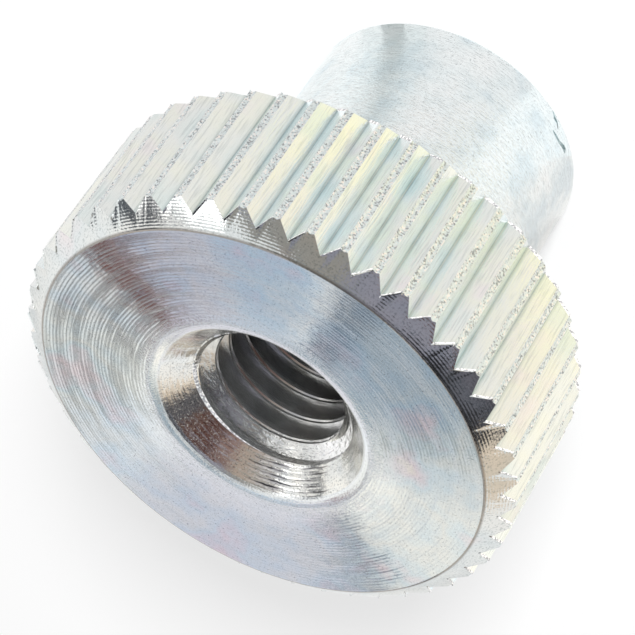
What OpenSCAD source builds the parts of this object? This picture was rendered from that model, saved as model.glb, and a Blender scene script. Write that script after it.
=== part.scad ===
// Knurled nut, high form: a straight-knurled head on a plain collar, with an
// M6 through thread.  Millimetres.  The nut stands on the end of its collar,
// at z = 0, and its axis is Z.

/* [Overall] */
// Height of the whole nut, from the collar's end to the head's face
nut_h = 15; // [12:0.5:20]

/* [Head] */
// Diameter of the head over the crests of the knurl
head_d = 18; // [15:0.5:24]
// Thickness of the head
head_t = 6.6; // [4:0.2:9]
// Width of the sloped edge of the head, measured along the radius
edge_w = 0.9; // [0.6:0.1:1.2]
// Depth of the sloped edge of the head, measured along the axis
edge_t = 0.65; // [0.4:0.05:1]

/* [Knurl] */
// Number of teeth around the head
teeth = 48; // [36:1:52]
// Depth of a groove, from the crests to its bottom
groove_depth = 0.44; // [0.2:0.02:0.5]
// Angle between the two flanks of a groove
groove_angle = 95; // [80:1:105]

/* [Collar] */
// Diameter of the plain collar
collar_d = 10.2; // [9:0.2:11.6]
// Radius of the rounded edge on the collar's end
collar_edge_r = 0.3; // [0.1:0.05:0.6]
// Radius left by the tool in the corner between the collar and the head
corner_r = 0.2; // [0.1:0.05:0.5]

/* [Thread] */
// Nominal diameter of the thread
thread_d = 6; // [5:0.5:7]
// Pitch of the thread
thread_pitch = 1; // [0.8:0.05:1.25]
// Diameter of the countersink at each end of the hole
sink_d = 7.8; // [7.2:0.1:8.4]
// Angle of the countersinks
sink_angle = 90; // [60:5:120]
// Radius of the rounded edge round each countersink
sink_edge_r = 0.6; // [0.1:0.1:0.9]

/* [Hidden] */

$fn = 96;
eps = 0.01;

collar_h = nut_h - head_t;
head_r = head_d / 2;
collar_r = collar_d / 2;
root_r = head_r - groove_depth;

// The hole is bored at the size that the thread is tapped in, and the thread's
// grooves are left out
bore_d = thread_d - thread_pitch;
sink_t = (sink_d - bore_d) / 2 / tan(sink_angle / 2);

// Half the angle from one tooth to the next, and half a groove's own angle
half_step = 180 / teeth;
half_groove = groove_angle / 2;
// Where the flanks of two grooves side by side would meet, above the crests
apex_r = root_r * sin(half_groove) / sin(half_groove - half_step);

// Outline of the knurl: a groove's bottom and a sharp tooth by turns.  The
// blank's own diameter then leaves a narrow crest on each tooth.
module knurl_outline() {
    polygon([
        for (i = [0 : 2 * teeth - 1])
            let (r = i % 2 == 0 ? root_r : apex_r, a = i * half_step)
                [r * cos(a), r * sin(a)]
    ]);
}

// Section of the head as it is turned, before the knurl is made
module head_section() {
    polygon([
        [0, collar_h],
        [head_r - edge_w, collar_h],
        [head_r, collar_h + edge_t],
        [head_r, nut_h - edge_t],
        [head_r - edge_w, nut_h],
        [0, nut_h]
    ]);
}

module head() {
    intersection() {
        rotate_extrude()
            head_section();
        translate([0, 0, collar_h - 1])
            linear_extrude(head_t + 2)
                knurl_outline();
    }
}

// Section of the collar, with its rounded end and the radius that the tool leaves
// under the head
module collar_section() {
    polygon([
        [0, 0],
        [collar_r - collar_edge_r, 0],
        [collar_r - collar_edge_r, collar_edge_r],
        [collar_r, collar_edge_r],
        [collar_r, collar_h + eps],
        [0, collar_h + eps]
    ]);
    translate([collar_r - collar_edge_r, collar_edge_r])
        intersection() {
            translate([0, -collar_edge_r])
                square(collar_edge_r);
            circle(r = collar_edge_r);
        }
    translate([collar_r, collar_h])
        difference() {
            translate([-eps, -corner_r])
                square([corner_r + eps, corner_r + eps]);
            translate([corner_r, -corner_r])
                circle(r = corner_r);
        }
}

module collar() {
    rotate_extrude()
        collar_section();
}

// Section of a countersink with its wide end at z = 0, opening downwards.  Its
// rounded edge is what a circle in the corner between the end face and the cone
// leaves of that corner.  The circle is a hair larger than one that touches them
// both, so that it cuts them cleanly.
module countersink_section() {
    half = sink_angle / 2;
    sink_r = sink_d / 2;
    touch = sink_edge_r * tan((90 - half) / 2);
    hair = 0.01;
    polygon([
        [0, -eps],
        [sink_r, -eps],
        [sink_r, 0],
        [bore_d / 2, sink_t],
        [0, sink_t]
    ]);
    difference() {
        polygon([
            [sink_r - touch * sin(half), touch * cos(half)],
            [sink_r - touch * sin(half), -eps],
            [sink_r + touch, -eps],
            [sink_r + touch, 0]
        ]);
        translate([sink_r + touch, sink_edge_r])
            circle(r = sink_edge_r + hair);
    }
}

module countersink() {
    rotate_extrude()
        countersink_section();
}

module threaded_hole() {
    translate([0, 0, -1])
        cylinder(h = nut_h + 2, d = bore_d);
    countersink();
    translate([0, 0, nut_h])
        mirror([0, 0, 1])
            countersink();
}

module knurled_nut() {
    color("lightsteelblue")
        difference() {
            union() {
                head();
                collar();
            }
            threaded_hole();
        }
}

knurled_nut();
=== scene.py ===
import math

import bmesh
import bpy
from mathutils import Matrix, Vector, noise


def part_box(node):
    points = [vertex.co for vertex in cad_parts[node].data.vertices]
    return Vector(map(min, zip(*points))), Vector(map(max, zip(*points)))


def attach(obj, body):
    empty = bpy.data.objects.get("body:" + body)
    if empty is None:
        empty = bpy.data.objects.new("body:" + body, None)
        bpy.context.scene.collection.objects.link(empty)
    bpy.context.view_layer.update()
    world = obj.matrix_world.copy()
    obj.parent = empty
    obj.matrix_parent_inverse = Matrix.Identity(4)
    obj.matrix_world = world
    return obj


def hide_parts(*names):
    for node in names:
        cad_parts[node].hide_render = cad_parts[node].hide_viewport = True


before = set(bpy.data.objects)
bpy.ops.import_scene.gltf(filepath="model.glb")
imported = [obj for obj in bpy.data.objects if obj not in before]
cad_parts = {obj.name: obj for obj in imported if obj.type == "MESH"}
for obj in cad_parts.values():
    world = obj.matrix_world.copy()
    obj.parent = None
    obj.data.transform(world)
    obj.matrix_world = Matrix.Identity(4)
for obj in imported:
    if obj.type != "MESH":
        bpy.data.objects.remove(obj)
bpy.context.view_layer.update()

bl_info = {
    "name": "Knurled Nut",
    "version": (1, 0, 0),
    "blender": (4, 5, 0),
    "location": "3D View > Sidebar > Nut",
    "description": "A high knurled nut with its thread, plating and studio",
    "category": "Add Mesh",
}

NODE = "knurled_nut"
MM = 0.001
CAD_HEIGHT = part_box(NODE)[1][2]

# Edges steeper than this are shaded sharp
SHARP_ANGLE = math.radians(26)
# Half the angle between a thread's flanks
THREAD_FLANK = math.radians(30)
# The cone of a countersink and the face lean this much towards each other
SINK_CORNER = math.radians(45)
# Radius in the middle of the face, where the arcs of its grain have their length
MIDDLE_RADIUS = 6 * MM
# The rings of a wave texture lie this far apart at a scale of 1
RING_PERIOD = math.tau / 20
# Azimuth in degrees in the middle of the torn part of the countersink's inner
# edge, and how far it runs to each side
TORN_SIDE = 68
TORN_SPREAD = 52
# How far inside the thread's bottom the torn edge lies, and half its width
TORN_INSET = 0.12 * MM
TORN_WIDTH = 0.05 * MM

# The nut's finishes, in the order of its material slots
FACE, SLOPE, CONE, COLLAR, FLANK, CREST, BURR, THREAD = range(8)


# ---------------------------------------------------------------- properties

def linear(hex_colour):
    """sRGB hex to the linear colour that sockets and properties take."""
    channels = [int(hex_colour[i:i + 2], 16) / 255 for i in (1, 3, 5)]
    return [c / 12.92 if c <= 0.04045 else ((c + 0.055) / 1.055) ** 2.4
            for c in channels] + [1.0]


def length(name, description, default):
    """A length in metres."""
    return bpy.props.FloatProperty(
        name=name, description=description, default=default,
        unit="LENGTH", precision=5, min=0.0,
    )


def angle(name, description, degrees):
    """An angle, kept in radians."""
    return bpy.props.FloatProperty(
        name=name, description=description, default=math.radians(degrees),
        subtype="ANGLE",
    )


def share(name, description, default):
    """A number from 0 to 1."""
    return bpy.props.FloatProperty(
        name=name, description=description, default=default,
        subtype="FACTOR", min=0.0, max=1.0,
    )


def tone(name, description, hex_colour):
    """A colour, kept linear."""
    return bpy.props.FloatVectorProperty(
        name=name, description=description, default=linear(hex_colour),
        subtype="COLOR", size=4, min=0.0, max=1.0,
    )


class NutSizes(bpy.types.PropertyGroup):
    """The nut's sizes, in metres and radians"""
    height: length("Height", "Collar's end to the head's face", CAD_HEIGHT)
    head_radius: length("Head radius", "Over the crests of the knurl", 9 * MM)
    head_height: length("Head height", "Thickness of the head", 6.6 * MM)
    edge_width: length("Slope width", "Head's sloped edge, along the radius", 0.9 * MM)
    edge_height: length("Slope height", "Head's sloped edge, along the axis", 0.65 * MM)
    collar_radius: length("Collar radius", "Plain collar", 5.1 * MM)
    collar_edge: length("Collar edge", "Radius of the rounded edge on its end", 0.3 * MM)
    corner_radius: length("Corner radius", "Between collar and head", 0.2 * MM)
    groove_depth: length("Groove depth", "From the crests to the bottom", 0.44 * MM)
    groove_angle: angle("Groove angle", "Between a groove's flanks", 95)
    teeth: bpy.props.IntProperty(
        name="Teeth", description="Teeth around the head", default=48, min=3)
    burr: length("Burr", "Metal rolled over at the ends of the teeth", 0.06 * MM)
    crest_grain: length("Crest grain", "Size of the crests' torn grains", 0.15 * MM)
    crest_depth: length("Crest depth", "Depth of the crests' torn grains", 0.02 * MM)
    bore_radius: length("Bore radius", "Hole over the crests of the thread", 2.5 * MM)
    sink_radius: length("Countersink radius", "At the mouth of the hole", 3.9 * MM)
    sink_edge: length("Countersink edge", "Radius of its rounded edge", 0.6 * MM)
    pitch: length("Thread pitch", "From one turn to the next", 1.0 * MM)
    thread_radius: length("Thread radius", "Bottom of the thread's groove", 3.0 * MM)
    thread_land: length("Thread land", "Flat left on the thread's crest", 0.18 * MM)
    thread_lip: length("Thread lip", "Metal pressed up along the land", 0.045 * MM)
    thread_start: angle("Thread start", "Azimuth where a crest passes z = 0", -27)
    # Painted shade: the countersinks' chatter hollows are painted darkest around this azimuth
    shaded_sink_side: angle("Oily side", "Azimuth of the oil in the countersinks", 125)
    # Painted shade: the thread is painted darkest around this azimuth
    shaded_thread_side: angle("Oily thread", "Azimuth where the thread is darkest with oil", 70)


class NutFinish(bpy.types.PropertyGroup):
    """The plating's colours, and how the tools left the metal"""
    blue: tone("Blue", "Passivated zinc, thin film", "#d0dbe2")
    grey: tone("Grey", "Passivated zinc", "#dcdfdf")
    rose: tone("Rose", "Passivated zinc, thicker film", "#ded3d8")
    straw: tone("Straw", "Passivated zinc, thickest film", "#ebe6cf")
    white: tone("White", "Zinc with hardly any film", "#eef0ef")
    collar: tone("Collar", "Plating on the collar", "#eef6f7")
    knurl: tone("Knurl", "Plating on the flanks of the teeth", "#f0fbff")
    # Also the darkest stop of the thread's painted shade
    thread: tone("Thread", "Plating, thin inside the hole", "#c6c8c8")
    ring: length("Ring", "From one turning mark to the next", 0.13 * MM)
    ring_depth: length("Ring depth", "Depth of a turning mark", 0.0016 * MM)
    satin: share("Satin", "Roughness of the turned face", 0.14)
    polish: share("Polish", "Roughness of the slopes and countersinks", 0.12)


class StudioSettings(bpy.types.PropertyGroup):
    """Where the camera and the lamp stand, and how strong the light is"""
    target: bpy.props.FloatVectorProperty(
        name="Target", description="Point that the camera looks at",
        default=(0.20 * MM, 0.54 * MM, 9.70 * MM), subtype="XYZ", precision=5)
    azimuth: angle("Azimuth", "Camera's place around the nut", -90.36)
    elevation: angle("Elevation", "Camera's height over the floor", 37.93)
    roll: angle("Roll", "Camera's turn about its own line of sight", 213.29)
    distance: length("Distance", "From the target to the camera", 108.25 * MM)
    lens: bpy.props.FloatProperty(
        name="Lens", description="Focal length on a 36 mm wide frame",
        default=180.0, unit="CAMERA")
    paper_white: share("Paper white", "Floor's share of plain white for the camera", 0.4)
    room_light: share("Room light", "Strength of the room's light on the nut", 0.7)
    lamp_azimuth: angle("Lamp azimuth", "Lamp's place around the nut", -86)
    lamp_rise: bpy.props.FloatProperty(
        name="Lamp rise", description="Lamp's height per length along the floor",
        default=0.62)
    lamp_distance: length("Lamp distance", "From the collar's end to the lamp", 250 * MM)
    lamp_size: length("Lamp size", "Side of the lamp's square", 40 * MM)
    lamp_power: bpy.props.FloatProperty(
        name="Lamp power", description="Faint, as it only casts the shadow",
        default=0.62, unit="POWER")


# ---------------------------------------------------------------- materials

def add(tree, kind, inputs=None, stops=(), **settings):
    """Adds a node with its settings, its colour stops, its socket values and its
    links.  Stops are (place, colour), the colour a property or sRGB hex."""
    node = tree.nodes.new("ShaderNode" + kind)
    for name, value in settings.items():
        setattr(node, name, value)
    if stops:
        points = node.color_ramp.elements
        while len(points) < len(stops):
            points.new(0.5)
        for point, (place, colour) in zip(points, stops):
            point.position = place
            point.color = linear(colour) if isinstance(colour, str) else colour
    for key, value in (inputs or {}).items():
        if isinstance(value, bpy.types.NodeSocket):
            tree.links.new(value, node.inputs[key])
        else:
            node.inputs[key].default_value = value
    return node


def new_material(name):
    """A material with an empty node tree, and that tree."""
    material = bpy.data.materials.new(name)
    material.use_nodes = True
    material.node_tree.nodes.clear()
    return material, material.node_tree


def new_zinc(name):
    """A material for the nut, its node tree, and the place on the nut."""
    material, tree = new_material(name)
    return material, tree, add(tree, "TexCoord").outputs["Object"]


def level_part(tree, place):
    """The place's x and y with no height: points away from the axis."""
    flat = add(tree, "VectorMath", {0: place, 1: (1, 1, 0)}, operation="MULTIPLY")
    return flat.outputs["Vector"]


def from_axis(tree, outward):
    """Distance from the nut's axis."""
    return add(tree, "VectorMath", {0: outward}, operation="LENGTH").outputs["Value"]


def nearness(tree, outward, side):
    """1 at this azimuth around the axis, -1 opposite to it."""
    direction = add(tree, "VectorMath", {0: outward}, operation="NORMALIZE")
    cosine = add(tree, "VectorMath", {
        0: direction.outputs["Vector"], 1: (math.cos(side), math.sin(side), 0)},
        operation="DOT_PRODUCT")
    return cosine.outputs["Value"]


def grain(tree, place, size, stretch=(1, 1, 1), detail=2.0):
    """Noise of about this grain size, drawn out by stretch along each axis."""
    drawn = add(tree, "Mapping", {
        "Vector": place, "Scale": [1 / (size * k) for k in stretch]})
    noise_node = add(tree, "TexNoise", {
        "Vector": drawn.outputs["Vector"], "Scale": 1.0, "Detail": detail})
    return noise_node.outputs["Fac"]


def radius_grain(tree, radius, size):
    """Noise that changes with the radius alone, so it is the same all round."""
    along = add(tree, "Math", {0: radius, 1: 1 / size}, operation="MULTIPLY")
    node = add(tree, "TexNoise", {"W": along.outputs["Value"], "Scale": 1.0},
               noise_dimensions="1D")
    return node.outputs["Fac"]


def arc_grain(tree, place, radius, size, reach):
    """Noise in short arcs around the axis: this wide along the radius, this long
    around it."""
    parts = add(tree, "SeparateXYZ", {"Vector": place})
    turn = add(tree, "Math", {0: parts.outputs["Y"], 1: parts.outputs["X"]},
               operation="ARCTAN2")
    around = add(tree, "Math", {0: turn.outputs["Value"], 1: MIDDLE_RADIUS / reach},
                 operation="MULTIPLY")
    across = add(tree, "Math", {0: radius, 1: 1 / size}, operation="MULTIPLY")
    point = add(tree, "CombineXYZ", {
        "X": across.outputs["Value"], "Y": around.outputs["Value"]})
    node = add(tree, "TexNoise", {
        "Vector": point.outputs["Vector"], "Scale": 1.0, "Detail": 2.0})
    return node.outputs["Fac"]


def mottling(tree, place, size, stops, detail=2.0):
    """Tint that changes in specks or patches of about this size."""
    level = grain(tree, place, size, detail=detail)
    return add(tree, "ValToRGB", {"Fac": level}, stops=stops).outputs["Color"]


def film(tree, place, stops, size=2.6 * MM):
    """The passivation film's tint, which drifts in soft patches with its
    thickness and gives the plating its faint pearl."""
    return mottling(tree, place, size, stops, detail=3.0)


def seen_through(tree, colour, *layers):
    """The colour as it shows through each of these tints."""
    for layer in layers:
        both = add(tree, "Mix", {"Factor": 1.0, "A": colour, "B": layer},
                   data_type="RGBA", blend_type="MULTIPLY")
        colour = both.outputs["Result"]
    return colour


def relief(tree, layers, normal=None):
    """Normal bent by layers of (height, depth), each on top of the one before.
    The height runs over that depth."""
    for height, depth in layers:
        inputs = {"Height": height, "Distance": depth}
        if normal is not None:
            inputs["Normal"] = normal
        normal = add(tree, "Bump", inputs).outputs["Normal"]
    return normal


def turning_marks(tree, outward, spacing, depth, lean, waver, patches=1.0):
    """Rings around the axis.  Each has a crest and a hollow, and leans outwards
    a little as the tool left it.  Patches makes them fade and deepen."""
    layers = []
    for profile, height in (("SIN", depth), ("SAW", -lean)):
        marks = add(tree, "TexWave", {
            "Vector": outward, "Scale": RING_PERIOD / spacing,
            "Distortion": waver, "Detail": 2.0, "Detail Scale": 0.6},
            wave_type="RINGS", rings_direction="Z", wave_profile=profile)
        faded = add(tree, "Math", {0: marks.outputs["Fac"], 1: patches},
                    operation="MULTIPLY")
        layers.append((faded.outputs["Value"], height))
    return relief(tree, layers)


def plated(tree, colour, normal, roughness, metallic=1.0, anisotropic=0.0, tangent=None):
    """The zinc's own shader.  The tangent says which way its highlights run."""
    inputs = {
        "Base Color": colour, "Metallic": metallic, "Roughness": roughness,
        "Normal": normal, "Anisotropic": anisotropic}
    if tangent is not None:
        inputs["Tangent"] = tangent
    shader = add(tree, "BsdfPrincipled", inputs)
    add(tree, "OutputMaterial", {"Surface": shader.outputs["BSDF"]})


def face_zinc(finish, sizes):
    """Turned face under blue passivated zinc.  The turning marks break a
    reflection into arcs and draw it out along the radius, so the light lies on
    the face in spokes.  The film is pearly, and thin round the hole, where the
    metal is whiter."""
    material, tree, place = new_zinc("turned_zinc_face")
    outward = level_part(tree, place)
    radius = from_axis(tree, outward)
    patches = add(tree, "MapRange", {
        "Value": arc_grain(tree, place, radius, 0.35 * MM, 2.2 * MM),
        "From Min": 0.36, "From Max": 0.62, "To Min": 0.3, "To Max": 1.6})
    depth = finish.ring_depth
    rings = turning_marks(tree, outward, finish.ring, depth, 4 * depth, 1.2,
                          patches.outputs["Result"])
    # the cutter left the mouth of the hole rough
    mouth = add(tree, "MapRange", {
        "Value": radius, "From Min": sizes.sink_radius + 0.8 * MM,
        "From Max": sizes.sink_radius + 0.25 * MM})
    rough = add(tree, "Math", {
        0: grain(tree, place, 0.07 * MM), 1: mouth.outputs["Result"]},
        operation="MULTIPLY")
    normal = relief(tree, (
        (radius_grain(tree, radius, 0.09 * MM), 1.6 * depth),
        (arc_grain(tree, place, radius, 0.06 * MM, 1.2 * MM), 0.8 * depth),
        (grain(tree, place, 0.06 * MM), 0.0004 * MM),
        (rough.outputs["Value"], 0.007 * MM)), rings)
    tint = film(tree, place, (
        (0.30, finish.blue), (0.44, finish.grey), (0.54, finish.blue),
        (0.66, finish.rose), (0.8, finish.straw)))
    inner = add(tree, "MapRange", {
        "Value": radius, "From Min": sizes.sink_radius + 0.3 * MM,
        "From Max": sizes.sink_radius + 1.8 * MM, "To Min": 0.9, "To Max": 0.0})
    whiter = add(tree, "Mix", {
        "Factor": inner.outputs["Result"], "A": tint, "B": finish.white},
        data_type="RGBA")
    specks = mottling(tree, place, 0.055 * MM, (
        (0.25, "#b8babe"), (0.34, "#f6f6f6"), (0.64, "#ffffff")), detail=1.0)
    colour = seen_through(tree, whiter.outputs["Result"], specks)
    plated(tree, colour, normal, finish.satin, anisotropic=0.92, tangent=outward)
    return material


def slope_zinc(finish, sizes):
    """Head's slopes: a brighter cut with crisp rings that break a reflection's
    edge into dashes."""
    material, tree, place = new_zinc("turned_zinc_slopes")
    outward = level_part(tree, place)
    rings = turning_marks(tree, outward, 0.085 * MM, 0.0017 * MM, 0.0, 0.3)
    normal = relief(tree, [(grain(tree, place, 0.09 * MM, detail=1.0), 0.0035 * MM)], rings)
    tint = film(tree, place, ((0.35, "#e8e8e4"), (0.55, "#dde2e2"), (0.7, "#e8e2e2")))
    grains = mottling(tree, place, 0.08 * MM, (
        (0.32, "#dce0e0"), (0.44, "#fafafa"), (0.6, "#ffffff")))
    # a painted dark line along the edge to the face stands in for the edge's dark reflection
    inner = sizes.head_radius - sizes.edge_width
    from_edge = add(tree, "MapRange", {
        "Value": from_axis(tree, outward), "From Min": inner + 0.02 * MM,
        "From Max": inner + 0.09 * MM})
    painted_edge_line = add(tree, "ValToRGB", {"Fac": from_edge.outputs["Result"]}, stops=(
        (0.0, "#b6b0ac"), (1.0, "#ffffff")))
    colour = seen_through(tree, tint, grains, painted_edge_line.outputs["Color"])
    plated(tree, colour, normal, finish.polish, anisotropic=0.3, tangent=outward)
    return material


def cone_zinc(finish, sizes):
    """Countersinks: smooth zinc with a few uneven chatter rings, torn here and
    there by the cutter."""
    material, tree, place = new_zinc("countersunk_zinc")
    outward = level_part(tree, place)
    radius = from_axis(tree, outward)
    chatter = add(tree, "TexWave", {
        "Vector": outward, "Scale": RING_PERIOD / (0.14 * MM), "Distortion": 3.0,
        "Detail": 3.0, "Detail Scale": 0.45},
        wave_type="RINGS", rings_direction="Z")
    painted_shade_side = add(tree, "MapRange", {
        "Value": nearness(tree, outward, sizes.shaded_sink_side), "From Min": 0.84,
        "From Max": 0.96})
    sharp = add(tree, "Math", {0: chatter.outputs["Fac"], 1: 3.0}, operation="POWER")
    # the chatter rings are deepest on the side with the most painted shade
    shake = add(tree, "MapRange", {"Value": painted_shade_side.outputs["Result"], "To Min": 0.25})
    shaken = add(tree, "Math", {
        0: sharp.outputs["Value"], 1: shake.outputs["Result"]}, operation="MULTIPLY")
    # flecks of torn metal catch the light
    torn = add(tree, "MapRange", {
        "Value": grain(tree, place, 0.06 * MM, detail=1.0), "From Min": 0.66,
        "From Max": 0.72})
    normal = relief(tree, (
        (shaken.outputs["Value"], 0.005 * MM),
        (arc_grain(tree, place, radius, 0.14 * MM, 1.4 * MM), 0.011 * MM),
        (grain(tree, place, 0.3 * MM), 0.010 * MM),
        (grain(tree, place, 0.07 * MM), 0.003 * MM),
        (torn.outputs["Result"], 0.02 * MM)))
    tint = film(tree, place, (
        (0.35, finish.grey), (0.5, "#f3f1ea"), (0.62, finish.white), (0.75, finish.rose)))
    # painted shade: thin dark lines painted into the chatter's hollows, darkest on that side
    patchy = arc_grain(tree, place, radius, 0.3 * MM, 1.6 * MM)
    hollow = add(tree, "Math", {0: chatter.outputs["Fac"], 1: patchy}, operation="ADD")
    faint = add(tree, "ValToRGB", {"Fac": hollow.outputs["Value"]}, stops=(
        (0.34, "#ccc8c6"), (0.46, "#ffffff")))
    strong = add(tree, "ValToRGB", {"Fac": hollow.outputs["Value"]}, stops=(
        (0.44, "#504e54"), (0.60, "#ffffff")))
    painted_hollow_shade = add(tree, "Mix", {
        "Factor": painted_shade_side.outputs["Result"], "A": faint.outputs["Color"],
        "B": strong.outputs["Color"]}, data_type="RGBA")
    pits = mottling(tree, place, 0.05 * MM, (
        (0.28, "#707274"), (0.34, "#f8f8f8"), (0.66, "#ffffff")), detail=1.0)
    colour = seen_through(tree, tint, painted_hollow_shade.outputs["Result"], pits)
    plated(tree, colour, normal, 0.19, anisotropic=0.3, tangent=outward)
    return material


def collar_zinc(finish):
    """Collar, turned with a fine feed: short scratches run around it, pull the
    reflections out along the axis and show a little darker metal."""
    material, tree, place = new_zinc("fine_turned_zinc")
    lines = grain(tree, place, 0.034 * MM, stretch=(9, 9, 1))
    specks = grain(tree, place, 0.06 * MM, detail=1.0)
    normal = relief(tree, ((lines, 0.021 * MM), (specks, 0.010 * MM)))
    tint = film(tree, place, (
        (0.35, "#e0ecf0"), (0.48, finish.collar), (0.7, "#f6fafa")), 1.6 * MM)
    worn = add(tree, "ValToRGB", {"Fac": lines}, stops=(
        (0.28, "#e4e7e8"), (0.44, "#fcfcfc"), (0.6, "#ffffff")))
    dots = add(tree, "ValToRGB", {"Fac": specks}, stops=(
        (0.27, "#d8dadb"), (0.34, "#ffffff")))
    colour = seen_through(tree, tint, worn.outputs["Color"], dots.outputs["Color"])
    plated(tree, colour, normal, 0.24, anisotropic=0.6, tangent=(0, 0, 1))
    return material


def flank_zinc(finish, sizes):
    """Flanks pressed by the knurling wheel: smooth, with faint streaks along the
    teeth, a film that changes along a flank, and painted shade at a groove's bottom."""
    material, tree, place = new_zinc("pressed_zinc")
    outward = level_part(tree, place)
    streaks = grain(tree, place, 0.07 * MM, stretch=(1, 1, 14))
    normal = relief(tree, (
        (streaks, 0.009 * MM), (grain(tree, place, 0.08 * MM), 0.004 * MM)))
    tint = film(tree, place, (
        (0.34, "#e8f8fd"), (0.46, finish.knurl), (0.58, "#f3fdfb"), (0.7, "#f4f8ff")),
        2.2 * MM)
    worn = add(tree, "ValToRGB", {"Fac": streaks}, stops=(
        (0.28, "#eceeef"), (0.5, "#ffffff")))
    # painted shade: the flanks are painted darker towards the bottom of a groove
    up = add(tree, "MapRange", {
        "Value": from_axis(tree, outward), "From Min": sizes.head_radius - sizes.groove_depth,
        "From Max": sizes.head_radius})
    dull = add(tree, "ValToRGB", {"Fac": up.outputs["Result"]}, stops=(
        (0.0, "#bcc4c6"), (0.08, "#e6ebec"), (0.2, "#fafcfd"), (0.5, "#ffffff")))
    colour = seen_through(tree, tint, worn.outputs["Color"], dull.outputs["Color"])
    plated(tree, colour, normal, 0.22)
    return material


def crest_zinc(sizes):
    """Crests torn by the knurling: small grains, a few painted white as painted
    glints, and a few painted darker."""
    material, tree, place = new_zinc("torn_zinc")
    cells = add(tree, "TexVoronoi", {
        "Vector": place, "Scale": 3.0 / sizes.crest_grain, "Randomness": 1.0})
    normal = relief(tree, (
        (cells.outputs["Distance"], 0.011 * MM),
        (grain(tree, place, 0.04 * MM), 0.006 * MM)))
    spread = add(tree, "SeparateColor", {"Color": cells.outputs["Color"]})
    # painted glints: the whitest cells stand in for glints, the darkest are darker grains
    colour = add(tree, "ValToRGB", {"Fac": spread.outputs["Red"]}, stops=(
        (0.08, "#9ca6ae"), (0.3, "#dceaf0"), (0.8, "#e8f8fd"), (0.9, "#ffffff")))
    plated(tree, colour.outputs["Color"], normal, 0.3)
    return material


def burr_zinc():
    """Torn burrs: white, and rough enough to catch light from everywhere."""
    material, tree, place = new_zinc("torn_white_zinc")
    torn = grain(tree, place, 0.09 * MM)
    normal = relief(tree, [(torn, 0.02 * MM)])
    colour = add(tree, "ValToRGB", {"Fac": torn}, stops=(
        (0.42, "#a4a6aa"), (0.54, "#ffffff")))
    plated(tree, colour.outputs["Color"], normal, 0.45, metallic=0.5)
    return material


def thread_zinc(finish, sizes):
    """Tapped thread: smooth, and painted darker towards one side of the hole as painted shade.
    """
    material, tree, place = new_zinc("thin_zinc_painted_shade")
    outward = level_part(tree, place)
    # the first turn under the countersink is scraped and torn
    parts = add(tree, "SeparateXYZ", {"Vector": place})
    first = add(tree, "MapRange", {
        "Value": parts.outputs["Z"], "From Min": sizes.height - 1.9 * sizes.pitch,
        "From Max": sizes.height - 1.5 * sizes.pitch})
    scraped = add(tree, "Math", {
        0: grain(tree, place, 0.09 * MM, stretch=(3, 3, 1), detail=3.0),
        1: first.outputs["Result"]}, operation="MULTIPLY")
    normal = relief(tree, (
        (grain(tree, place, 0.06 * MM, stretch=(6, 6, 1)), 0.005 * MM),
        (scraped.outputs["Value"], 0.05 * MM)))
    # painted shade: the thread is painted darkest towards one side of the hole and nearly
    # white on the other
    towards_shaded_side = add(tree, "MapRange", {
        "Value": nearness(tree, outward, sizes.shaded_thread_side), "From Min": -0.4})
    painted_shade_side = add(tree, "ValToRGB", {"Fac": towards_shaded_side.outputs["Result"]}, stops=(
        (0.3, "#ffffff"), (0.6, "#e3e4e1"), (0.69, "#e4e3df"), (0.87, "#d6d8d7"),
        (0.94, finish.thread)))
    patchy = mottling(tree, place, 0.5 * MM, ((0.35, "#eaeaea"), (0.7, "#ffffff")))
    colour = seen_through(tree, painted_shade_side.outputs["Color"], patchy)
    plated(tree, colour, normal, 0.2, metallic=0.95)
    return material


def finishes(finish, sizes):
    """The nut's materials, in the order of its slots."""
    return (
        face_zinc(finish, sizes), slope_zinc(finish, sizes), cone_zinc(finish, sizes),
        collar_zinc(finish), flank_zinc(finish, sizes), crest_zinc(sizes), burr_zinc(),
        thread_zinc(finish, sizes))


# ---------------------------------------------------------------- geometry

# The blank's columns in one tooth, the knurl's rows along its length, and the
# thread's steps in one turn
COLUMNS_PER_TOOTH = 16
KNURL_ROWS = 44
THREAD_STEPS = 96


def countersink_points(sizes):
    """The countersink as (radius, depth, finish) from the bore to the end face:
    the burr that the tap raised where it broke through, the cone and the rounded
    edge, whose circle touches the face and the cone."""
    bore = sizes.bore_radius - sizes.thread_lip
    ragged = sizes.thread_radius - TORN_INSET
    touch = sizes.sink_edge * math.tan(SINK_CORNER / 2)
    centre = sizes.sink_radius + touch
    points = [
        (bore, sizes.sink_radius - bore, CONE),
        (ragged - TORN_WIDTH, sizes.sink_radius - ragged + TORN_WIDTH, BURR),
        (ragged, sizes.sink_radius - ragged - 0.4 * TORN_WIDTH, BURR),
        (ragged + TORN_WIDTH, sizes.sink_radius - ragged - TORN_WIDTH, CONE),
    ]
    for lean in (42, 32, 22, 11, 0):
        t = math.radians(lean)
        points.append((centre - sizes.sink_edge * math.sin(t),
                       sizes.sink_edge * (1 - math.cos(t)), FACE))
    # a ring close by keeps the rounding's shading off the flat face
    points.append((centre + 0.08 * MM, 0.0, FACE))
    return points


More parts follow.
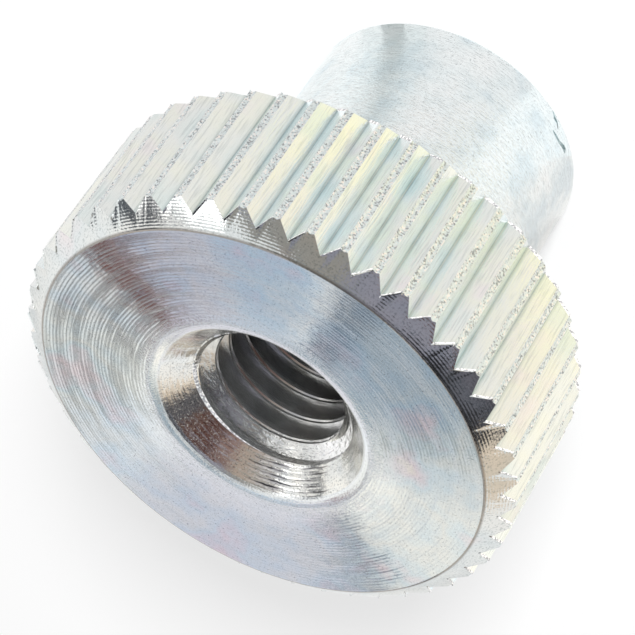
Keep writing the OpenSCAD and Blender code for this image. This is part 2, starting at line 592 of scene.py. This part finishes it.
def blank_section(sizes):
    """The turned blank's half section as a closed loop of (radius, height,
    finish of the strip up to the next point)."""
    top = sizes.height
    under = sizes.height - sizes.head_height
    lip = sizes.burr
    corner = sizes.corner_radius
    slope = sizes.edge_height / sizes.edge_width
    # a ring this close to the rim keeps the slope's shading off the teeth
    near = 0.07 * MM
    # the edge from the slope to the face is dulled by this much to each side
    dull = 0.03 * MM
    low = countersink_points(sizes)
    # the head's countersink runs the other way, so a strip's finish changes ends
    strips = [finish for r, depth, finish in low]
    high = [(r, top - depth, finish) for (r, depth, _), finish in zip(
        reversed(low), reversed([THREAD] + strips[:-1]))]
    inner = sizes.head_radius - sizes.edge_width
    rim = sizes.head_radius
    rounded = []
    for lean in (0, 22, 45, 68):
        t = math.radians(lean)
        rounded.append((
            sizes.collar_radius - sizes.collar_edge * (1 - math.sin(t)),
            sizes.collar_edge * (1 - math.cos(t)), COLLAR))
    return low + rounded + [
        (sizes.collar_radius, sizes.collar_edge, COLLAR),
        (sizes.collar_radius, under - corner, COLLAR),
        (sizes.collar_radius + 0.3 * corner, under - 0.3 * corner, COLLAR),
        (sizes.collar_radius + corner, under, FACE),
        (inner, under, SLOPE),
        (rim - near, under + sizes.edge_height - near * slope, SLOPE),
        (rim, under + sizes.edge_height, BURR),
        (rim, under + sizes.edge_height + lip, FLANK),
        (rim, top - sizes.edge_height - lip, BURR),
        (rim, top - sizes.edge_height, SLOPE),
        (rim - near, top - sizes.edge_height + near * slope, SLOPE),
        (inner + dull, top - dull * slope, SLOPE),
        (inner - dull, top, FACE),
    ] + high


def radius_of(point):
    """Distance from the nut's axis."""
    return math.hypot(point.x, point.y)


def turned_blank(bm, sizes):
    """Spins the section into the blank and marks each strip's finish."""
    section = blank_section(sizes)
    verts = [bm.verts.new((r, 0, z)) for r, z, finish in section]
    edges = [bm.edges.new((a, b)) for a, b in zip(verts, verts[1:] + verts[:1])]
    strips = []
    for (r, z, finish), edge in zip(section, edges):
        middle = (edge.verts[0].co + edge.verts[1].co) / 2
        strips.append((middle.x, middle.z, finish))
    bmesh.ops.spin(
        bm, geom=verts + edges, cent=(0, 0, 0), axis=(0, 0, 1),
        angle=math.tau, steps=sizes.teeth * COLUMNS_PER_TOOTH, use_merge=True)
    bmesh.ops.remove_doubles(bm, verts=bm.verts, dist=0.0005 * MM)
    for face in bm.faces:
        middle = face.calc_center_median()
        r = radius_of(middle)
        face.material_index = min(
            strips, key=lambda strip: math.hypot(strip[0] - r, strip[1] - middle.z))[2]
    bmesh.ops.recalc_face_normals(bm, faces=bm.faces)
    # the tap broke the metal out on one side of the hole only
    for face in bm.faces:
        middle = face.calc_center_median()
        side = math.degrees(math.atan2(middle.y, middle.x))
        if (face.material_index == BURR and radius_of(middle) < sizes.sink_radius
                and abs(side - TORN_SIDE) > TORN_SPREAD):
            face.material_index = CONE
    ragged = sizes.thread_radius - TORN_INSET
    for v in bm.verts:
        if abs(radius_of(v.co) - ragged) < 0.1 * TORN_WIDTH:
            torn = TORN_WIDTH * noise.noise(v.co / (0.12 * MM))
            v.co.z += math.copysign(torn, v.co.z - sizes.height / 2)


def tooth_outline(sizes):
    """Half a tooth as (angle from the groove's bottom, radius), one for each
    column: the groove's bottom, the flank, the ridge pressed up at the flank's
    top, and the crest's sunken middle."""
    half = sizes.groove_angle / 2
    root = sizes.head_radius - sizes.groove_depth
    # how far along the flank the crest's radius is reached
    reach = -root * math.cos(half) + math.sqrt(
        sizes.head_radius ** 2 - (root * math.sin(half)) ** 2)
    # the wheel leaves the groove's bottom a little round
    points = [(0.0, root + 0.012 * MM)]
    for along in (0.04, 0.34, 0.68, 0.97):
        x = root + along * reach * math.cos(half)
        y = along * reach * math.sin(half)
        points.append((math.atan2(y, x), math.hypot(x, y)))
    edge = math.atan2(reach * math.sin(half), root + reach * math.cos(half))
    middle = math.pi / sizes.teeth
    for along, sunk in ((0.05, 0.0), (0.3, 0.012), (0.65, 0.03), (1.0, 0.034)):
        points.append((edge + along * (middle - edge), sizes.head_radius - sunk * MM))
    return points


def press_knurl(bm, sizes):
    """Divides the rim into rows and moves its columns into teeth.  The ends of
    a column slide along the head's slopes as it goes in, so the grooves run out
    on the slopes.  The crests are torn a little, and each tooth's trailing
    flank carries a burr at its ends."""
    rim = sizes.head_radius - 0.5 * sizes.edge_width
    wall = [e for e in bm.edges
            if e.calc_length() > 0.5 * sizes.head_height
            and min(radius_of(v.co) for v in e.verts) > rim]
    bmesh.ops.subdivide_edges(bm, edges=wall, cuts=KNURL_ROWS - 1, use_grid_fill=True)
    outline = tooth_outline(sizes)
    tooth_angle = math.tau / sizes.teeth
    column_angle = tooth_angle / COLUMNS_PER_TOOTH
    # the first station of the outline that lies on the crest
    ridge = 5
    flank_end = outline[ridge - 1][0]
    slope = sizes.edge_height / sizes.edge_width
    middle = sizes.height - sizes.head_height / 2
    wall_end = sizes.head_height / 2 - sizes.edge_height
    for v in bm.verts:
        back = sizes.head_radius - radius_of(v.co)
        if back > sizes.head_radius - rim:
            continue
        column = round(math.atan2(v.co.y, v.co.x) / column_angle)
        tooth, place = divmod(column, COLUMNS_PER_TOOTH)
        trailing = place > COLUMNS_PER_TOOTH // 2
        station = COLUMNS_PER_TOOTH - place if trailing else place
        turn, r = outline[station]
        if trailing:
            turn = tooth_angle - turn
        from_middle = v.co.z - middle
        sign = math.copysign(1, from_middle)
        grains = noise.noise(v.co / sizes.crest_grain)
        if station >= ridge:
            r -= sizes.crest_depth * 0.5 * (1 + grains)
        if abs(from_middle) > wall_end - 1.5 * sizes.burr:
            v.co.z += sign * (sizes.head_radius - r) * slope
        at_end = back < 0.5 * sizes.burr and abs(from_middle) > wall_end - 0.5 * sizes.burr
        if trailing and at_end and station <= ridge:
            lift = sizes.burr * (0.5 + 0.9 * grains)
            r += 0.3 * lift
            v.co.z += sign * lift
        at = tooth * tooth_angle + turn
        r = min(r, sizes.head_radius) - back
        v.co.x = r * math.cos(at)
        v.co.y = r * math.sin(at)
    for face in bm.faces:
        centre = face.calc_center_median()
        if face.material_index not in (FLANK, BURR) or radius_of(centre) < 0.9 * rim:
            continue
        place = (math.atan2(centre.y, centre.x) / tooth_angle) % 1
        on_crest = abs(place - 0.5) < 0.5 - flank_end / tooth_angle
        if on_crest:
            face.material_index = CREST
        elif place < 0.5:
            face.material_index = FLANK
    for edge in bm.edges:
        edge.smooth = len({face.material_index for face in edge.link_faces}) == 1


def thread_cutter(sizes):
    """The tap's path: a tapered bar wound right through the hole.  Its inner
    edge leaves a thin lip along the lower part of the thread's land."""
    bm = bmesh.new()
    slope = math.tan(THREAD_FLANK)
    mouth = (sizes.pitch - sizes.thread_land) / 2
    root = mouth - (sizes.thread_radius - sizes.bore_radius) * slope
    lip = sizes.bore_radius - sizes.thread_lip
    inner = lip - 0.15 * MM
    # the lip's own ridge lies this far below the middle of the land
    low = 0.05 * MM
    below = -sizes.pitch / 2 - low + 0.01 * MM
    above = sizes.pitch / 2 - low - 0.01 * MM
    section = [
        (inner, below), (lip, below), (sizes.bore_radius, below + 0.05 * MM),
        (sizes.bore_radius, -mouth), (sizes.thread_radius, -root), (sizes.thread_radius, root),
        (sizes.bore_radius, mouth), (lip, above), (inner, above)]
    verts = [bm.verts.new((r, 0, z)) for r, z in section]
    bm.faces.new(verts)
    turns = math.ceil(sizes.height / sizes.pitch) + 3
    steps = THREAD_STEPS * turns
    bmesh.ops.rotate(bm, verts=bm.verts, cent=(0, 0, 0),
                     matrix=Matrix.Rotation(sizes.thread_start, 3, "Z"))
    bmesh.ops.translate(bm, verts=bm.verts, vec=(0, 0, -1.5 * sizes.pitch))
    bmesh.ops.spin(
        bm, geom=bm.faces[:], cent=(0, 0, 0), axis=(0, 0, 1),
        dvec=(0, 0, sizes.pitch * turns / steps),
        angle=math.tau * turns, steps=steps)
    return bm


# The split in the collar's rolled edge: two runs of (azimuth in degrees, height
# in mm, width in mm)
SPLITS = (
    ((-120.5, -0.05, 0.17), (-123.0, 0.16, 0.20), (-124.7, 0.32, 0.14),
     (-127.0, 0.33, 0.07), (-129.3, 0.47, 0.03)),
    ((-127.2, 0.74, 0.04), (-130.0, 0.72, 0.10), (-133.0, 0.72, 0.11),
     (-136.5, 0.60, 0.17), (-138.8, 0.58, 0.18), (-139.8, 0.62, 0.04)),
)


def split_cutter(sizes, stations):
    """A thin wedge that runs along the collar's skin from station to station."""
    bm = bmesh.new()
    bmesh.ops.create_grid(
        bm, x_segments=1, y_segments=1, size=0.5, matrix=Matrix.Rotation(math.pi / 2, 4, "X"))
    deep = 0.3 * MM
    before = Matrix.Identity(4)
    face = bm.faces[:][0]
    for index, (azimuth, height, width) in enumerate(stations):
        here = (
            Matrix.Rotation(math.radians(azimuth), 4, "Z")
            @ Matrix.Translation((sizes.collar_radius, 0, height * MM))
            @ Matrix.Diagonal((deep, 1, width * MM, 1)))
        if index:
            face = bmesh.ops.extrude_discrete_faces(bm, faces=[face])["faces"][0]
        bmesh.ops.transform(bm, matrix=here @ before.inverted(), verts=face.verts)
        before = here
    bmesh.ops.holes_fill(bm, edges=bm.edges)
    return bm


def as_object(name, bm):
    """Turns the bmesh into a linked object at the origin, and frees it."""
    mesh = bpy.data.meshes.new(name)
    bm.to_mesh(mesh)
    bm.free()
    obj = bpy.data.objects.new(name, mesh)
    bpy.context.collection.objects.link(obj)
    return obj


def cut(obj, bm, finish):
    """Takes the cutter out of the object, and gives the cut faces a finish."""
    bmesh.ops.recalc_face_normals(bm, faces=bm.faces)
    for face in bm.faces:
        face.material_index = finish
    cutter = as_object("cutter", bm)
    for material in obj.data.materials:
        cutter.data.materials.append(material)
    modifier = obj.modifiers.new("cut", "BOOLEAN")
    modifier.object = cutter
    modifier.solver = "EXACT"
    graph = bpy.context.evaluated_depsgraph_get()
    mesh = bpy.data.meshes.new_from_object(obj.evaluated_get(graph))
    obj.modifiers.clear()
    if len(mesh.polygons) in (0, len(obj.data.polygons)):
        raise RuntimeError("the cutter took nothing, or everything, out of " + obj.name)
    obj.data = mesh
    bpy.data.objects.remove(cutter)


def sharpen(mesh):
    """Smooth shading, broken at steep edges and where the finish changes."""
    marked = [edge.use_edge_sharp for edge in mesh.edges]
    mesh.shade_smooth()
    mesh.set_sharp_from_angle(angle=SHARP_ANGLE)
    for edge, sharp in zip(mesh.edges, marked):
        if sharp:
            edge.use_edge_sharp = True


class NUT_OT_body(bpy.types.Operator):
    """Turn, tap and knurl the nut, and plate it"""
    bl_idname = "nut.body"
    bl_label = "Knurled nut"

    def execute(self, context):
        sizes = context.scene.nut_sizes
        bm = bmesh.new()
        turned_blank(bm, sizes)
        nut = as_object("knurled_nut_body", bm)
        for material in finishes(context.scene.nut_finish, sizes):
            nut.data.materials.append(material)
        cut(nut, thread_cutter(sizes), THREAD)
        for stations in SPLITS:
            cut(nut, split_cutter(sizes, stations), COLLAR)
        bm = bmesh.new()
        bm.from_mesh(nut.data)
        press_knurl(bm, sizes)
        bm.to_mesh(nut.data)
        bm.free()
        sharpen(nut.data)
        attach(nut, "root")
        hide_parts(NODE)
        return {"FINISHED"}


# ---------------------------------------------------------------- studio

def studio_floor(studio):
    """White paper, lifted to white for the camera; the rest of its light comes
    from the room, so it keeps the nut's shadow."""
    bm = bmesh.new()
    bmesh.ops.create_grid(bm, x_segments=1, y_segments=1, size=1.0)
    floor = as_object("studio_floor", bm)
    material, tree = new_material("white_paper_sweep")
    seen = seen_directly(tree)
    paper = add(tree, "BsdfDiffuse", {"Color": linear("#f4f4f4")})
    white = add(tree, "Emission", {"Color": linear("#ffffff"), "Strength": 1.0})
    part = add(tree, "Math", {0: seen, 1: studio.paper_white}, operation="MULTIPLY")
    mix = add(tree, "MixShader", {
        "Fac": part.outputs["Value"], 1: paper.outputs["BSDF"],
        2: white.outputs["Emission"]})
    add(tree, "OutputMaterial", {"Surface": mix.outputs["Shader"]})
    floor.data.materials.append(material)


def seen_directly(tree):
    """1 for the camera's rays and those that metal or glass passes on."""
    path = add(tree, "LightPath")
    level = path.outputs["Is Camera Ray"]
    for name in ("Is Glossy Ray", "Is Transmission Ray"):
        both = add(tree, "Math", {0: level, 1: path.outputs[name]}, operation="MAXIMUM")
        level = both.outputs["Value"]
    return level


def studio_camera(studio):
    """Looks at the target from the stated azimuth and elevation, rolled."""
    level = Vector((math.cos(studio.azimuth), math.sin(studio.azimuth), 0))
    back = level * math.cos(studio.elevation) + Vector((0, 0, math.sin(studio.elevation)))
    right = Vector((-level.y, level.x, 0))
    frame_axes = Matrix((right, back.cross(right), back)).transposed().to_4x4()
    data = bpy.data.cameras.new("camera")
    data.lens = studio.lens
    data.clip_start = 0.005
    camera = bpy.data.objects.new("camera", data)
    camera.matrix_world = (
        Matrix.Translation(Vector(studio.target) + back * studio.distance)
        @ frame_axes @ Matrix.Rotation(studio.roll, 4, "Z"))
    bpy.context.collection.objects.link(camera)
    bpy.context.scene.camera = camera


def studio_world(studio):
    """An even white room, full white where it is seen."""
    world = bpy.data.worlds.new("white_room")
    world.use_nodes = True
    tree = world.node_tree
    tree.nodes.clear()
    lift = add(tree, "Math", {
        0: seen_directly(tree), 1: 1 - studio.room_light, 2: studio.room_light},
        operation="MULTIPLY_ADD")
    shader = add(tree, "Background", {
        "Color": linear("#ffffff"), "Strength": lift.outputs["Value"]})
    add(tree, "OutputWorld", {"Surface": shader.outputs["Background"]})
    bpy.context.scene.world = world


# Cards and a soft box around the nut, seen only in its reflections.  Each is a
# piece of a dome: azimuths and elevations in degrees, distance in mm, colour
# and strength of its glow.
DOME_CARDS = {
    "grey_card": ((62, 122), (14, 64), 210, "#dfe2e6", 1.0),
    "black_wing": ((146, 168), (46, 66), 195, "#3a3a3e", 0.8),
    "top_flag": ((148, 200), (60, 84), 196, "#3a3a3e", 0.5),
    "black_flag": ((168, 197), (25, 49), 190, "#4c4c52", 1.1),
    "dark_flag": ((168, 197), (49, 62), 190, "#4c4c52", 2.1),
    "brown_flag": ((196, 213), (34, 55), 189, "#a47464", 0.28),
    "red_brown_flag": ((213, 244), (34, 60), 189, "#a46c5c", 0.26),
    "rust_flag": ((244, 272), (36, 62), 191, "#c09a90", 0.48),
    "tan_flag": ((270, 302), (36, 62), 192, "#d0beb2", 0.68),
    "overhead_flag": ((190, 273), (50, 84), 194, "#8d8c98", 1.2),
    "overhead_card": ((266, 346), (56, 84), 199, "#a29e98", 0.97),
    "zenith_card": ((0, 360), (78, 90), 200, "#8e9094", 1.0),
    "pale_tan_card": ((301, 317), (38, 57), 193, "#d2cccc", 0.9),
    "lilac_card": ((300, 343), (38, 57), 198, "#b4b4bc", 0.95),
    "soft_box": ((345, 358), (48, 60), 201, "#ffffff", 2.5),
    "low_soft_box": ((341, 358), (32, 49), 202, "#ffffff", 0.93),
    "high_box": ((356, 367), (41, 60), 202, "#ffffff", 1.7),
    "low_box": ((365, 376), (41, 60), 203, "#e0e0e4", 0.75),
    "dim_card": ((358, 374), (32, 41), 199, "#c4c4c8", 0.92),
    "slit_flag": ((373, 380), (16, 35), 180, "#70747c", 0.7),
    "high_slit_flag": ((372, 386), (35, 50), 180, "#70747c", 0.6),
    "side_card": ((381, 425), (16, 60), 200, "#ffffff", 1.08),
    "warm_side_card": ((140, 168), (28, 46), 194, "#ffeeda", 0.82),
}
# Cards that lie on the floor: azimuths in degrees, inner and outer radius in
# mm, colour and strength
FLOOR_CARDS = {
    "cream_card": ((205, 232), (19.5, 60), "#fff2e2", 1.10),
    "cream_side_card": ((205, 222), (12, 19.5), "#fff2e2", 1.10),
    "warm_card": ((232, 252), (19.5, 60), "#ffefdc", 1.01),
    "cream_inner_card": ((222, 268), (12, 19.5), "#fff2d0", 1.12),
    "straw_card": ((252, 275), (19.5, 60), "#fff3e8", 0.93),
    "plain_card": ((275, 302), (19.5, 60), "#fff5ec", 0.90),
    "plain_inner_card": ((268, 302), (12, 19.5), "#fff5ec", 0.90),
    "dim_far_card": ((302, 335), (12, 60), "#fff5ee", 0.86),
    "far_card": ((335, 360), (12, 60), "#fff5ee", 0.97),
    "bright_far_card": ((0, 65), (12, 60), "#fff4ef", 0.98),
    "pale_card": ((188, 205), (12, 60), "#fff4e6", 0.98),
    "pale_low_card": ((150, 188), (12, 60), "#fff4e6", 1.18),
    "grey_near_card": ((150, 180), (5, 12), "#f6f2f0", 0.95),
    "pale_near_card": ((180, 215), (5, 12), "#fdf9f7", 1.07),
    "bright_near_card": ((215, 250), (5, 12), "#ffffff", 1.12),
    "soft_near_card": ((250, 300), (5, 12), "#faf9f9", 1.0),
    "dark_near_strip": ((310, 321), (5, 8.5), "#e6eaea", 0.78),
    "dim_near_strip": ((310, 321), (8.5, 12), "#f0f2f2", 0.97),
    "edge_near_strip": ((300, 310), (5, 12), "#f4f6f6", 0.99),
    "side_near_strip": ((321, 332), (5, 12), "#f8fafa", 1.08),
    "near_card": ((332, 400), (5, 12), "#fbfbfb", 1.17),
}
# Wedges of card around the spot that the face mirrors to the camera: azimuth on
# the face of the spoke that a wedge gives, half its spread in degrees, inner and
# outer reach in mm, colour, strength
SPOKE_CARDS = {
    "white_spoke": (169, 14, 14, 120, "#fffcf4", 1.18),
    "pale_side_spoke": (-170, 7, 14, 120, "#f4f6f4", 1.0),
    "grey_side_spoke": (-158, 6, 10, 120, "#ccd0cc", 0.85),
    "blue_spoke": (-130, 23, 0, 120, "#9eacb7", 1.15),
    "deep_blue_spoke": (-98, 9, 0, 120, "#8e9cac", 0.75),
    "pale_spoke": (-84, 5, 6, 120, "#ffffff", 1.05),
    "blue_spoke_narrow": (-60, 18, 0, 120, "#b2bfcc", 1.3),
    "lilac_spoke": (-28, 14, 0, 120, "#c6c6d2", 1.2),
    "brown_spoke": (-9.5, 4.5, 4, 120, "#94402e", 0.55),
    "dim_spoke": (3, 8, 0, 30, "#acacac", 0.62),
    "dim_outer_spoke": (3, 8, 30, 120, "#f0f0f0", 1.15),
    "cream_spoke": (24, 13, 0, 32, "#c4c4be", 1.05),
    "cream_outer_spoke": (24, 13, 32, 120, "#f4f4f0", 1.2),
    "bright_spoke": (50, 13, 0, 120, "#eef0f3", 1.24),
    "lilac_low_spoke": (103.5, 40.5, 0, 120, "#e4e2ea", 1.1),
    "dark_spoke": (149, 4, 8, 120, "#7c8088", 1.2),
}


# A card's steps around the nut, and a dome card's rows
CARD_STEPS = 24
CARD_ROWS = 8
# A spoke card stands this far from this point on the nut's axis
SPOKE_REACH = 170 * MM
SPOKE_CENTRE = Vector((0, 0, 12 * MM))


def stage_card(name, bm, colour, strength):
    """A card that shows in reflections only."""
    card = as_object(name, bm)
    material, tree = new_material("glowing_" + name)
    glow = add(tree, "Emission", {"Color": linear(colour), "Strength": strength})
    add(tree, "OutputMaterial", {"Surface": glow.outputs["Emission"]})
    card.data.materials.append(material)
    card.visible_camera = False
    card.visible_diffuse = False
    card.visible_shadow = False


def dome_card(azimuths, elevations, reach):
    """A piece of a dome around the origin."""
    bm = bmesh.new()
    first, last = (math.radians(a) for a in azimuths)
    low, high = (math.radians(e) for e in elevations)
    turn = Matrix.Rotation(first, 3, "Z")
    verts = []
    for i in range(CARD_ROWS + 1):
        e = low + (high - low) * i / CARD_ROWS
        verts.append(bm.verts.new(turn @ Vector((math.cos(e), 0, math.sin(e))) * reach))
    edges = [bm.edges.new(pair) for pair in zip(verts, verts[1:])]
    bmesh.ops.spin(bm, geom=verts + edges, cent=(0, 0, 0), axis=(0, 0, 1),
                   angle=last - first, steps=CARD_STEPS)
    return bm


def floor_card(azimuths, radii):
    """A piece of a flat ring, just over the floor."""
    bm = bmesh.new()
    first, last = (math.radians(a) for a in azimuths)
    turn = Matrix.Rotation(first, 3, "Z")
    lifted = 0.2 * MM
    verts = [bm.verts.new(turn @ Vector((r * MM, 0, lifted))) for r in radii]
    edge = bm.edges.new(verts)
    bmesh.ops.spin(bm, geom=verts + [edge], cent=(0, 0, 0), axis=(0, 0, 1),
                   angle=last - first, steps=CARD_STEPS)
    return bm


def spoke_card(studio, azimuth, half_spread, inner, outer):
    """A tilt of the face's marks by a small angle t towards an azimuth p moves
    the mirrored spot by 2t sin(elevation) cos(p) level and -2t sin(p) upright;
    the wedge runs from the spot along that line."""
    bm = bmesh.new()
    lean = math.sin(studio.elevation)
    lines = []
    for edge in (-half_spread, half_spread):
        p = math.radians(azimuth + edge)
        lines.append(Vector((lean * math.cos(p), -math.sin(p), 0)).normalized())
    first, last = lines
    corners = [first * outer * MM, last * outer * MM]
    corners += [last * inner * MM, first * inner * MM] if inner else [Vector()]
    bm.faces.new([bm.verts.new(c) for c in corners])
    spot = Vector((0, math.cos(studio.elevation), math.sin(studio.elevation)))
    level = Vector((1, 0, 0))
    axes = Matrix((level, spot.cross(level) * -1, spot)).transposed().to_4x4()
    bmesh.ops.transform(bm, verts=bm.verts, matrix=Matrix.Translation(
        spot * SPOKE_REACH + SPOKE_CENTRE) @ axes)
    return bm


def studio_lamp(studio):
    """The key: a soft lamp whose only trace is the nut's faint shadow."""
    data = bpy.data.lights.new("key", "AREA")
    data.size = studio.lamp_size
    data.energy = studio.lamp_power
    lamp = bpy.data.objects.new("key", data)
    side = studio.lamp_azimuth
    towards = Vector((math.cos(side), math.sin(side), studio.lamp_rise))
    lamp.matrix_world = (
        Matrix.Translation(towards.normalized() * studio.lamp_distance)
        @ towards.to_track_quat("Z", "Y").to_matrix().to_4x4())
    lamp.visible_camera = False
    lamp.visible_glossy = False
    bpy.context.collection.objects.link(lamp)


class NUT_OT_studio(bpy.types.Operator):
    """Set the floor, the camera, the cards and the lights"""
    bl_idname = "nut.studio"
    bl_label = "Studio"

    def execute(self, context):
        studio = context.scene.nut_studio
        studio_floor(studio)
        studio_camera(studio)
        studio_world(studio)
        studio_lamp(studio)
        for name, (azimuths, elevations, reach, colour, strength) in DOME_CARDS.items():
            stage_card(name, dome_card(azimuths, elevations, reach * MM), colour, strength)
        for name, (azimuths, radii, colour, strength) in FLOOR_CARDS.items():
            stage_card(name, floor_card(azimuths, radii), colour, strength)
        for name, (*wedge, colour, strength) in SPOKE_CARDS.items():
            stage_card(name, spoke_card(studio, *wedge), colour, strength)
        context.scene.view_settings.view_transform = "Standard"
        return {"FINISHED"}


# ---------------------------------------------------------------- add-on

class NUT_PT_panel(bpy.types.Panel):
    """Lists the steps and their settings"""
    bl_label = "Knurled nut"
    bl_idname = "NUT_PT_panel"
    bl_space_type = "VIEW_3D"
    bl_region_type = "UI"
    bl_category = "Nut"

    def draw(self, context):
        for step, groups in STEPS.items():
            self.layout.operator(step.bl_idname)
            for name in groups:
                settings = getattr(context.scene, name)
                for key in type(settings).__annotations__:
                    self.layout.prop(settings, key)


# The operators in order, with the settings that each reads, and the settings' groups
STEPS = {NUT_OT_body: ("nut_sizes", "nut_finish"), NUT_OT_studio: ("nut_studio",)}
GROUPS = {"nut_sizes": NutSizes, "nut_finish": NutFinish, "nut_studio": StudioSettings}


def register():
    """Registers the classes and gives each scene its settings."""
    for cls in (*GROUPS.values(), *STEPS, NUT_PT_panel):
        bpy.utils.register_class(cls)
    for name, group in GROUPS.items():
        setattr(bpy.types.Scene, name, bpy.props.PointerProperty(type=group))


def unregister():
    """Takes the settings and the classes away again."""
    for name in GROUPS:
        delattr(bpy.types.Scene, name)
    for cls in (NUT_PT_panel, *reversed(STEPS), *GROUPS.values()):
        bpy.utils.unregister_class(cls)


def main():
    """Makes the nut and its studio."""
    register()
    bpy.ops.nut.body()
    bpy.ops.nut.studio()


if __name__ == "__main__":
    main()
